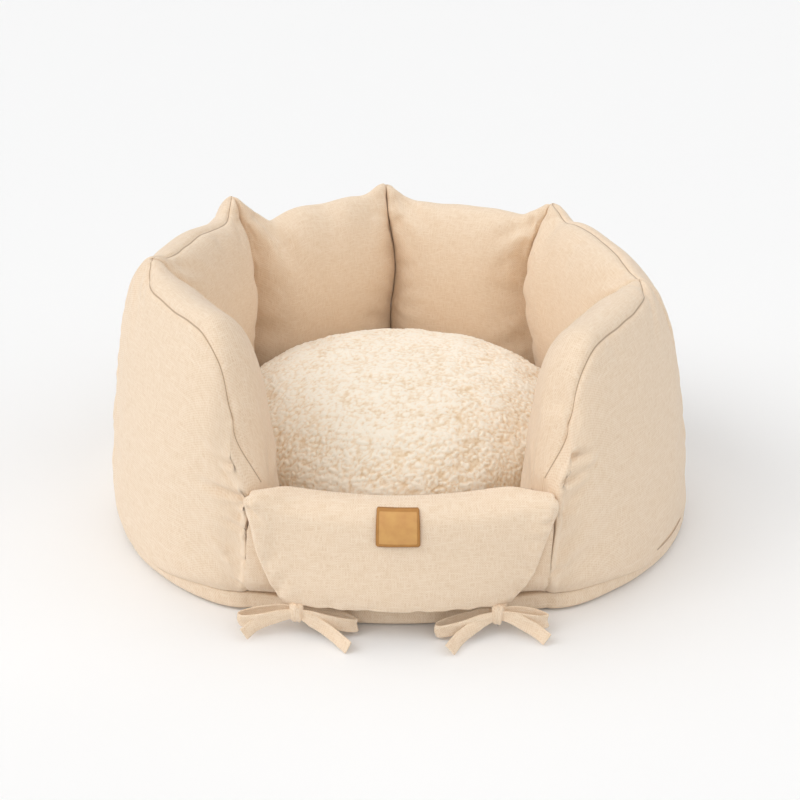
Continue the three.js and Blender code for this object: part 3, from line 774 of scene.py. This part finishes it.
# Floor pad: a foam disc in a canvas cover, as thick as a slice of bread. Its rim is a band that
# the chambers and the front panel are sewn to all round, with a short seam under each corner.
RIM_STEPS = 360
RIM_PROFILE = [                  # height and how far in from the walls' outer feet, both in mm
    (20.2, 12), (20.2, 1.6), (19.6, 0.5), (17.0, 0.0), (10.0, 0.0), (6.0, 0.3), (3.8, 1.3), (2.6, 3.2),
    (2.1, 6.5), (1.6, 10), (1.0, 15), (0.0, 21), (0.0, 32),
]
CORNERS = [-61.3, -12, 43.5, 92, 141.4, 192.9, 240.7]
RIM_ROW = 3.0                    # mm of cloth from one row of the profile to the next
RIM_BLUR = 4                     # degrees to either side over which the walls' feet are evened out
RUB = [{"size": 45 * MM, "height": 1.0 * MM}]
BAND_SEAM = {"depth": 1.4 * MM, "reach": 2.4}
BAND = (0, 20.3 * MM)            # the band's lower and upper edge, and how softly its relief ends there
BAND_FADE = (4 * MM, 2 * MM)
MERGE = 0.01 * MM                # points nearer than this are one
FRONT_FOOT = {"half_angle": 28, "corner_y": -0.2430, "bow": 0.028}
FRONT_SLOPE = math.tan(math.radians(FRONT_FOOT["half_angle"]))      # of the panel's side seam planes


def merge_points(piece):
    edit(piece)
    bpy.ops.mesh.remove_doubles(threshold=MERGE)
    end_edit()


def foot_radius(azimuth):
    """How far out the walls' feet stand at an azimuth in degrees."""
    turn = (azimuth + 90 + 180) % 360 - 180
    if abs(turn) <= FRONT_FOOT["half_angle"]:
        x = -FRONT_FOOT["corner_y"] * math.tan(math.radians(turn))
        share = math.tan(math.radians(turn)) / FRONT_SLOPE
        y = FRONT_FOOT["corner_y"] - FRONT_FOOT["bow"] * (1 - share ** 2)
        return math.hypot(x, y)
    return float(np.interp(azimuth % 360, foot_azimuths, foot_radii))


feet = np.concatenate([chamber_grid(chamber)[0][:, 0] for chamber in CHAMBERS])
foot_azimuths = np.degrees(np.arctan2(feet[:, 1], feet[:, 0])) % 360
order = np.argsort(foot_azimuths)
foot_azimuths, foot_radii = foot_azimuths[order], np.hypot(feet[:, 0], feet[:, 1])[order]

deselect_all()
bpy.ops.mesh.primitive_grid_add(x_subdivisions=len(RIM_PROFILE) - 1, y_subdivisions=RIM_STEPS, size=1)
pad = bpy.context.active_object
pad.name = "floor_pad_cover"
azimuths = np.linspace(0, 360, RIM_STEPS + 1)
radii = np.array([foot_radius(a) for a in azimuths])
bell = np.hanning(2 * RIM_BLUR + 1)
radii_round = np.r_[radii[-RIM_BLUR - 1:-1], radii, radii[1:RIM_BLUR + 1]]
radii = np.convolve(radii_round, bell / bell.sum(), "valid")
rim = np.zeros((RIM_STEPS + 1, len(RIM_PROFILE), 3))
cloth = np.zeros_like(rim)
around = np.r_[0, np.cumsum(np.radians(np.diff(azimuths)) * radii[1:])] / MM
for column, (height, inset) in enumerate(RIM_PROFILE):
    reach = radii - inset * MM
    rim[:, column, 0] = reach * np.cos(np.radians(azimuths))
    rim[:, column, 1] = reach * np.sin(np.radians(azimuths))
    rim[:, column, 2] = height * MM
    cloth[:, column] = np.stack([around, np.full_like(around, column * RIM_ROW), 0 * around], 1)
set_places(pad, rim.reshape(-1, 3))
set_attribute(pad, "cloth_mm", cloth.reshape(-1, 3))
corner_miss = np.min([np.abs((azimuths - c + 180) % 360 - 180) for c in CORNERS], axis=0)
# Distance from the rim's corner seams: the material paints seam shade there, and the band is grooved.
set_attribute(pad, "line_mm", np.repeat(np.radians(corner_miss) * radii / MM, len(RIM_PROFILE)))
merge_points(pad)
subdivide(pad)
places, normals = places_of(pad), normals_of(pad)
band = attribute_of(pad, "line_mm")
rise = uneven(places, RUB, 5.0) - BAND_SEAM["depth"] * np.exp(-(band / BAND_SEAM["reach"]) ** 2)
on_band = np.clip((places[:, 2] - BAND[0]) / BAND_FADE[0], 0, 1)
on_band *= np.clip((BAND[1] - places[:, 2]) / BAND_FADE[1], 0, 1)
set_places(pad, places + normals * (rise * on_band)[:, None])
close_ends(pad)
face_outwards(pad)
finish_piece(pad, canvas_with_painted_seam_shade, "canvas", "floor_pad")


# Front panel: a seventh padded panel, folded outwards at half height so that its top hangs in
# front of it as a flap. Both layers are one piece of quilted canvas, and its free edge is a hem.
FLAP_PRESSURE = 3
FLAP_CAP = 4 * MM
FACING_GAP = 14 * MM             # cloth that faces cloth within this distance stays flat
STANDING_SIDE = 112 * MM         # the side seams end at this height, under the fold
PINNED_BEHIND = -0.252           # the sides are held where y is more than this
PINNED_UNDER = 23 * MM
# The fold's right end hangs lower than its left end, past this x and above this z.
EAR_DROP = {"by": 4 * MM, "x": (85 * MM, 120 * MM), "z": (80 * MM, 120 * MM)}
SIDE_FILL = 8 * MM               # the panel's sides stand this much further out, flush with the chambers
EDGE_FILL = 8 * MM               # and its side edges this much more
FOOT_DRAW = 6 * MM               # and their feet draw in under them
SIDE_BAND = (75 * MM, 125 * MM)  # from the middle: where the sides begin and where they are full
EDGE_BAND = (98 * MM, 128 * MM)
SPREAD_BAND = (40 * MM, 80 * MM)
FOOT_BAND = {"z": 20 * MM, "reach": 14 * MM}
SEAM_BAND = 14 * MM              # so near to a side seam the cloth moves along the seam's plane
HANGING = (260 * MM, 270 * MM)   # the flap is what lies this far in front of the bed's middle
HEM_WAVE = {"height": 1.6 * MM, "length": 11 * MM, "z": (54 * MM, 38 * MM)}
WEAVE_LEAN = 0.4                 # how much of the cloth's run from front to back counts as height
# How much further out the flap's edges hang than the frame's: (height, left, right), in mm.
FLAP_SPREAD = [(28, 5, 3), (55, 6, 8), (80, 6.5, 7), (112, 4, 8)]
FLAP_UNEVEN = [{"size": 70 * MM, "height": 1.8 * MM}, {"size": 22 * MM, "height": 0.6 * MM}]
# (x, z) in mm on the flap's face at both ends, then width and depth in mm.
FLAP_FOLDS = [
    (-127, 121, -113, 106, 3.6, 3.6), (-118, 124, -96, 112, 7, 1.6), (-104, 40, -92, 66, 5, 1.8),
    (129, 113, 115, 110, 3.4, 3.0), (122, 92, 104, 96, 5, 1.4), (100, 38, 90, 66, 5, 2.2),
    (109, 60, 100, 82, 6, 1.4), (-112, 70, -98, 84, 6, 1.3), (118, 124, 92, 114, 8, 1.6),
    (-60, 33, -56, 46, 5, 1.0), (-20, 32, -22, 43, 5, 0.8), (30, 32, 33, 44, 6, 0.9),
    (64, 33, 60, 45, 5, 1.0),
]
FOLD_NEAREST = 40                # of this many points nearest to a fold's end, the foremost is taken


def copy_of_node(node, name):
    """A new piece in the shape of a frame's solid, with its doubled points merged."""
    piece = bpy.data.objects.new(name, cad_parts[node].data.copy())
    bpy.context.scene.collection.objects.link(piece)
    merge_points(piece)
    return piece


def filled_places(piece, pins, pressure, cap):
    """Where a piece's points lie once it is filled, none moved further than the cap."""
    full = places_of(piece)
    inflate(piece, pins, pressure)
    moved = places_of(piece) - full
    length = np.linalg.norm(moved, axis=1)
    return full + moved * np.minimum(1, cap / np.maximum(length, 1e-9))[:, None]


def skin_of(piece):
    """A piece's surface, to send rays at."""
    return BVHTree.FromPolygons(
        [Vector(p) for p in places_of(piece)], [tuple(face.vertices) for face in piece.data.polygons])


def on_standing_seam(edge):
    from_plane = [abs(v.co.x) + v.co.y * FRONT_SLOPE for v in edge.verts]
    return min(from_plane) > -1 * MM and max(v.co.z for v in edge.verts) < STANDING_SIDE


panel = copy_of_node("front_panel", "folded_front_panel")
edit(panel)
bpy.ops.mesh.tris_convert_to_quads(face_threshold=math.radians(70), shape_threshold=math.radians(120))
select_only(panel, "EDGE", on_standing_seam)
bpy.ops.transform.edge_crease(value=0.8)
end_edit()
subdivide(panel)

full = places_of(panel)
own_skin = skin_of(panel)
facing = np.zeros(len(full), bool)
for index, (place, normal) in enumerate(zip(full, normals_of(panel))):
    hit = own_skin.ray_cast(Vector(place + normal * 0.4 * MM), Vector(normal), FACING_GAP)
    facing[index] = hit[0] is not None
side = np.abs(full[:, 0]) > -full[:, 1] * FRONT_SLOPE - 3 * MM
pinned = facing | side & (full[:, 1] > PINNED_BEHIND) | (full[:, 2] < PINNED_UNDER)
set_places(panel, filled_places(panel, pinned, FLAP_PRESSURE, FLAP_CAP))
subdivide(panel, 2)
places, normals = places_of(panel), normals_of(panel)
in_front = np.clip(-normals[:, 1] * 1.5, 0, 1)
places = places + normals * (uneven(places, FLAP_UNEVEN, 9.0) * in_front)[:, None]
for x_a, z_a, x_b, z_b, width, depth in FLAP_FOLDS:
    ends = []
    for x, z in ((x_a, z_a), (x_b, z_b)):
        miss = (places[:, 0] - x * MM) ** 2 + (places[:, 2] - z * MM) ** 2 + (in_front < 0.3)
        near = np.argsort(miss)[:FOLD_NEAREST]
        ends.append(places[near[places[near, 1].argmin()]])
    places = press_fold(places, normals * in_front[:, None], *ends, width * MM, depth * MM)
x, y, z = places.T
z -= EAR_DROP["by"] * smooth_step(x, *EAR_DROP["x"]) * smooth_step(z, *EAR_DROP["z"])
side = smooth_step(np.abs(x), *SIDE_BAND)
edge = smooth_step(np.abs(x), *EDGE_BAND)
low = np.exp(-((z - FOOT_BAND["z"]) / FOOT_BAND["reach"]) ** 2)
beside = smooth_step(np.abs(x) + FRONT_SLOPE * y, -SEAM_BAND, 0)
fill = SIDE_FILL * side + EDGE_FILL * edge - (FOOT_DRAW * side + EDGE_FILL * edge) * low
y -= fill
x += np.sign(x) * FRONT_SLOPE * fill * beside
hanging = smooth_step(-y, *HANGING)
heights, left, right = np.array(FLAP_SPREAD, float).T
spread = np.where(x < 0, -np.interp(z / MM, heights, left), np.interp(z / MM, heights, right))
x += spread * MM * smooth_step(np.abs(x), *SPREAD_BAND) * hanging
ripple = np.array([noise.noise((along / HEM_WAVE["length"], 0, 4)) for along in x])
z += HEM_WAVE["height"] * ripple * smooth_step(z, *HEM_WAVE["z"]) * hanging
for azimuth in ENTRANCE_SEAMS:
    places = sway(places, azimuth, 1 - hanging)
set_places(panel, places)
x, y, z = places.T / MM
set_attribute(panel, "cloth_mm", np.stack([x, z + WEAVE_LEAN * y, 0 * x], 1))
finish_piece(panel, canvas, "canvas", "front_panel")


# Cushion: a loose round cushion, crowned by its filling, in sherpa: a knitted fleece whose long
# pile is brushed and steamed into small matted curls. It lies inside the walls on the floor pad.
CUSHION_VOXEL = 5 * MM
CUSHION_PRESSURE = 4
CUSHION_CAP = 1.5 * MM
CUSHION_HELD = 26 * MM           # the filling doesn't move what lies lower than this
CUSHION_SINK = {"by": 5 * MM, "height": 60 * MM}     # the crown settles by this, above the pile line
PILE_LINE = 72 * MM              # below this height the walls hide the pile
PILE_CUTS = 2
CURL = {"size": 4.8 * MM, "warp": 8 * MM, "twist": 0.8, "height": 1.6 * MM}
TUFT = {"size": 2.6 * MM, "height": 0.8 * MM}
CLUMP = {"size": 26 * MM, "height": 1.8 * MM}
SIDE_SHADE = {"by": 0.15, "x": (0.12, 0.17)}     # painted shade: the pile is a little darker towards both sides, beside the walls
SHERPA_TONES = [(0.42, "E6C9A2"), (0.8, "FAE8CF"), (1.0, "FFF4E2")]      # painted shade in the pits, the body, and painted light on the tips


def curl_height(place):
    """Matted curls, as a height from 0 to about 1: soft knolls that run into each other."""
    warp = noise.noise_vector(place / CURL["warp"]) * CURL["twist"]
    first, second = noise.voronoi(place / CURL["size"] + warp)[0][:2]
    return min(1, 1.25 - first) * (0.55 + 0.45 * min(1, (second - first) * 3.5))


cushion = copy_of_node("cushion", "sherpa_cushion")
apply_modifier(cushion, "REMESH", mode="VOXEL", voxel_size=CUSHION_VOXEL)
held = places_of(cushion)[:, 2] < CUSHION_HELD
places = filled_places(cushion, held, CUSHION_PRESSURE, CUSHION_CAP)
places[:, 2] -= CUSHION_SINK["by"] * smooth_step(
    places[:, 2], PILE_LINE, PILE_LINE + CUSHION_SINK["height"])
set_places(cushion, places)
edit(cushion)
select_only(cushion, "FACE", lambda face: face.calc_center_median().z > PILE_LINE)
bpy.ops.mesh.subdivide(number_cuts=PILE_CUTS, smoothness=0)
bpy.ops.mesh.vertices_smooth(factor=0.5, repeat=6)
end_edit()
places, normals = places_of(cushion), normals_of(cushion)
piled = np.clip((places[:, 2] - PILE_LINE) / (5 * MM), 0, 1)
pile = np.array([curl_height(Vector(p)) for p in places])
tufts = np.array([noise.noise(Vector(p) / TUFT["size"]) for p in places])
clumps = np.array([noise.noise(Vector(p) / CLUMP["size"]) for p in places])
height = CURL["height"] * (pile - 0.6) + TUFT["height"] * tufts + CLUMP["height"] * clumps
set_places(cushion, places + normals * (height * piled)[:, None])
# Painted shade towards both sides of the cushion.
side_shade = SIDE_SHADE["by"] * smooth_step(np.abs(places[:, 0]), *SIDE_SHADE["x"])
# The pile's tone follows the curls' height, so the pits take painted shade and the tips painted light, with
# random tufts and clumps.
set_attribute(cushion, "pile", np.clip(pile * 0.8 + tufts * 0.3 + clumps * 0.15 - side_shade, 0, 1))

sherpa, tree = new_material("sherpa_fleece_matted_pile")
pile_height = add_node(tree, "ShaderNodeAttribute", {"attribute_name": "pile"}).outputs["Fac"]
spot = add_node(tree, "ShaderNodeTexCoord").outputs["Object"]
fuzz = add_node(tree, "ShaderNodeTexNoise", {"Scale": 900.0, "Detail": 3.0, "Roughness": 0.7},
                {"Vector": spot})
mottle = add_node(tree, "ShaderNodeTexNoise", {"Scale": 26.0, "Detail": 2.0}, {"Vector": spot})
fuzzy = add_node(tree, "ShaderNodeMath", {"operation": "MULTIPLY_ADD", 1: 0.45},
                 {0: fuzz.outputs["Fac"], 2: pile_height})
patchy = add_node(tree, "ShaderNodeMath", {"operation": "MULTIPLY_ADD", 1: 0.35},
                  {0: mottle.outputs["Fac"], 2: fuzzy.outputs[0]})
bump = add_node(tree, "ShaderNodeBump", {"Strength": 0.6, "Distance": 0.0008},
                {"Height": fuzz.outputs["Fac"]})
add_surface(tree, {
    "Roughness": 1.0, "Specular IOR Level": 0.1, "Sheen Weight": 0.35, "Sheen Roughness": 0.7,
}, {"Base Color": colour_ramp(tree, patchy.outputs[0], SHERPA_TONES), "Normal": bump.outputs[0]})
finish_piece(cushion, sherpa, "fleece", "cushion")


# Ties: strips of the same canvas, folded in four and stitched flat. One is sewn behind the
# flap's hem and one to the pad's rim, and each pair is tied in a bow that lies on the floor.
TIE = {"width": 11.5 * MM, "thick": 1.5 * MM, "cup": 0.9 * MM, "rows": 72, "columns": 6}
BOWS = {
    "left": {
        "knot": (-90, -278, 21.5), "knot_size": (8.2, 6.4, 9.6),
        "flap": {"side": -1, "root": (-93, -266, 33), "tip": (-140.5, -279, 14.8), "leans": (6, 12, 24),
                 "tail": [(-103, -282, 20.5), (-119, -283, 15.5), (-129, -287, 11.5), (-136, -293, 8)]},
        "pad": {"side": 1, "root": (-84, -262, 14), "tip": (-37, -283, 11.5), "leans": (6, 16, 30),
                "tail": [(-79, -284, 18), (-69, -287, 13), (-57, -296, 9), (-44, -311, 6.2)]},
    },
    "right": {
        "knot": (86.5, -279, 20), "knot_size": (7.0, 6.2, 10.2),
        "flap": {"side": 1, "root": (91, -266, 33), "tip": (131, -279, 13.5), "leans": (6, 20, 42),
                 "tail": [(98, -284, 19.5), (112, -288, 14), (121, -292, 10), (129, -299, 6.5)]},
        "pad": {"side": -1, "root": (81, -262, 14), "tip": (33, -289, 9.5), "leans": (6, 24, 46),
                "tail": [(73, -286, 16.5), (62, -292, 12), (52, -301, 8.5), (43.5, -314, 5.6)]},
    },
}


def ribbon(name, points, leans, widths):
    """A flat tape along a curve. It leans from upright by leans, in degrees, along its length."""
    knots = np.linspace(0, 1, len(points))
    at = np.linspace(0, 1, TIE["rows"] + 1)
    line = natural_spline(knots, np.array(points) * MM, at)
    forward = np.gradient(line, axis=0)
    forward /= np.linalg.norm(forward, axis=1)[:, None]
    flatwise = np.cross(forward, (0, 0, 1))
    flatwise /= np.linalg.norm(flatwise, axis=1)[:, None]
    upright = np.cross(flatwise, forward)
    for i in range(1, len(at)):
        if flatwise[i] @ flatwise[i - 1] < 0:
            flatwise[i:] *= -1
    lean = np.radians(np.interp(at, np.linspace(0, 1, len(leans)), leans))[:, None]
    across = upright * np.cos(lean) + flatwise * np.sin(lean)
    through = np.cross(across, forward)
    width = np.interp(at, np.linspace(0, 1, len(widths)), widths) * MM
    deselect_all()
    bpy.ops.mesh.primitive_grid_add(x_subdivisions=TIE["columns"], y_subdivisions=TIE["rows"], size=1)
    piece = bpy.context.active_object
    piece.name = name
    shares = np.linspace(-0.5, 0.5, TIE["columns"] + 1)
    rows = line[:, None] + across[:, None] * (width[:, None] * shares)[..., None]
    ripple = np.array([noise.noise((t * 9, width[0] * 900, len(name))) for t in at]) * 0.9 * MM
    bend = TIE["cup"] * (1 - (2 * shares) ** 2)[None] + ripple[:, None] * np.cos(shares * 7)[None]
    rows = rows + through[:, None] * bend[..., None]
    set_places(piece, rows.reshape(-1, 3))
    along = np.r_[0, np.cumsum(np.linalg.norm(np.diff(line, axis=0), axis=1))]
    cloth = np.zeros((*rows.shape[:2], 3))
    cloth[..., 0] = along[:, None] / MM
    cloth[..., 1] = shares[None] * TIE["width"] / MM
    set_attribute(piece, "cloth_mm", cloth.reshape(-1, 3))
    apply_modifier(piece, "SOLIDIFY", thickness=TIE["thick"], offset=0)
    subdivide(piece)
    return piece, along[-1]


def bow_half(bow_name, bow, half_name):
    """The sewn end, the loop and the tail of one tie, as three ribbons joined into one piece."""
    half = bow[half_name]
    knot = np.array(bow["knot"], float)
    tip = np.array(half["tip"], float)
    out = tip - knot
    side = half["side"]
    belly = np.array([0, 5.0, 0])
    loop = [
        knot + (side * 2, -2, 0), knot + out * 0.3 - belly * 0.9 + (0, 0, 1.5),
        knot + out * 0.75 - belly, tip + (side * 0.5, 0, 0), knot + out * 0.75 + belly + (0, 0, 1),
        knot + out * 0.3 + belly * 0.9 + (0, 0, 2), knot + (side * 2, 2, 1),
    ]
    tail = [knot + (side * 1.5, -1, -2)] + [np.array(p, float) for p in half["tail"]]
    root = np.array(half["root"], float)
    sewn = [root, (root * 0.5 + knot * 0.5) + (side * 1.5, 0, 1), knot + (side * 1.5, 0, 2)]
    name = f"{bow_name}_{half_name}_tie"
    parts = [
        ribbon(name, loop, [4, 0, -6, -4, 4, 0], [7, 11, 13, 13, 13, 11, 7]),
        ribbon(f"{name}_tail", tail, [-side * lean for lean in half["leans"]], [8, 12, 12, 12]),
        ribbon(f"{name}_end", sewn, [84, 60], [11, 11, 8]),
    ]
    whole = parts[0][0]
    activate(whole)
    for piece, _ in parts[1:]:
        piece.select_set(True)
    bpy.ops.object.join()
    finish_piece(whole, canvas, "canvas", f"tie_{bow_name}_{half_name}")


for bow_name, bow in BOWS.items():
    for half_name in ("flap", "pad"):
        bow_half(bow_name, bow, half_name)
    deselect_all()
    bpy.ops.mesh.primitive_uv_sphere_add(segments=32, ring_count=20, radius=1)
    knot = bpy.context.active_object
    knot.name = f"{bow_name}_knot"
    ball = places_of(knot)
    turned = np.arctan2(ball[:, 1], ball[:, 0])
    crease = (ball[:, 0] - 0.25 * ball[:, 2]) / 0.22
    pleats = 1 + 0.06 * np.cos(turned * 5 + ball[:, 2] * 2.4) - 0.10 * np.exp(-crease ** 2)
    shaped = np.sign(ball) * np.abs(ball) ** 0.82 * pleats[:, None]
    shaped[:, 0] *= 1 - 0.28 * np.exp(-(ball[:, 2] / 0.9) ** 2) + 0.12 * ball[:, 2]
    set_places(knot, shaped * np.array(bow["knot_size"]) * MM + np.array(bow["knot"]) * MM)
    set_attribute(knot, "cloth_mm", shaped * 9)
    subdivide(knot)
    finish_piece(knot, canvas, "canvas")


# Label: a small patch of tan vegetable-tanned leather, glued to the flap. Its edge is burnished
# and a plain border is pressed into its face.
LABEL = {"width": 35.5 * MM, "height": 26.0 * MM, "centre": (-0.8 * MM, 109.5 * MM), "thick": 1.9 * MM,
         "corner": 0.8 * MM, "columns": 60, "rows": 44, "border": 1.5 * MM, "press": 0.3 * MM}
LABEL_SMOOTHING = 30             # rounds in which the leather bridges the cloth's dips
GROOVE_WIDTH = 0.4 * MM
EDGE_ROUND = {"reach": 0.9 * MM, "depth": 0.7 * MM}
# The burnished edge, the pressed border and the face, by the distance from the edge in tones.
LEATHER_TONES = [(0, "A06E35"), (0.12, "B57F40"), (0.33, "B57F40"), (0.42, "D29E5E"), (1, "D29E5E")]
TONE_REACH = 5.0                 # mm from the edge at the last tone

deselect_all()
bpy.ops.mesh.primitive_grid_add(x_subdivisions=LABEL["columns"], y_subdivisions=LABEL["rows"], size=1)
label = bpy.context.active_object
label.name = "leather_label"
square = places_of(label) * 2
half_size = np.array([LABEL["width"], LABEL["height"]]) / 2
flat = square[:, :2] * half_size
past = np.maximum(np.abs(flat) - (half_size - LABEL["corner"]), 0)
reach = np.hypot(past[:, 0], past[:, 1])
pull = np.where(reach > LABEL["corner"], LABEL["corner"] / np.maximum(reach, 1e-9), 1)
flat = np.sign(flat) * (np.minimum(np.abs(flat), half_size - LABEL["corner"]) + past * pull[:, None])
from_edge = np.minimum(half_size[0] - np.abs(flat[:, 0]), half_size[1] - np.abs(flat[:, 1]))
panel_skin = skin_of(panel)
patch = np.zeros((len(flat), 3))
for index, (x, z) in enumerate(flat + np.array(LABEL["centre"])):
    start = Vector((x, -0.5, z))
    patch[index] = panel_skin.ray_cast(start, Vector((0, 1, 0)))[0]
grid = patch[:, 1].reshape(LABEL["rows"] + 1, LABEL["columns"] + 1)
for _ in range(LABEL_SMOOTHING):
    inner = (grid[:-2, 1:-1] + grid[2:, 1:-1] + grid[1:-1, :-2] + grid[1:-1, 2:]) / 4
    grid[1:-1, 1:-1] = np.minimum(inner, grid[1:-1, 1:-1] + 0.1 * MM)
groove = np.exp(-((from_edge - LABEL["border"]) / GROOVE_WIDTH) ** 2)
rounded = np.clip(1 - from_edge / EDGE_ROUND["reach"], 0, 1) ** 2 * EDGE_ROUND["depth"]
patch[:, 1] = grid.ravel() - 0.3 * MM - LABEL["thick"] + groove * LABEL["press"] + rounded
set_places(label, patch)
set_attribute(label, "from_edge", from_edge / MM)
apply_modifier(label, "SOLIDIFY", thickness=LABEL["thick"] - 0.2 * MM, offset=1)
face_outwards(label)

leather, tree = new_material("vegetable_tanned_leather")
edge_distance = add_node(tree, "ShaderNodeAttribute", {"attribute_name": "from_edge"}).outputs["Fac"]
spot = add_node(tree, "ShaderNodeTexCoord").outputs["Object"]
grain = add_node(tree, "ShaderNodeTexVoronoi", {"Scale": 1400.0}, {"Vector": spot})
cloudy = add_node(tree, "ShaderNodeTexNoise", {"Scale": 120.0, "Detail": 3.0}, {"Vector": spot})
scaled = add_node(tree, "ShaderNodeMapRange", {"From Min": 0.0, "From Max": TONE_REACH},
                  {"Value": edge_distance})
worn = add_node(tree, "ShaderNodeMix", {"data_type": "RGBA", "blend_type": "OVERLAY", 0: 0.25},
                {6: colour_ramp(tree, scaled.outputs[0], LEATHER_TONES), 7: cloudy.outputs["Fac"]})
bump = add_node(tree, "ShaderNodeBump", {"Strength": 0.25, "Distance": 0.0003},
                {"Height": grain.outputs["Distance"]})
add_surface(tree, {"Roughness": 0.55, "Specular IOR Level": 0.4},
            {"Base Color": worn.outputs[2], "Normal": bump.outputs[0]})
finish_piece(label, leather, "leather", "label")
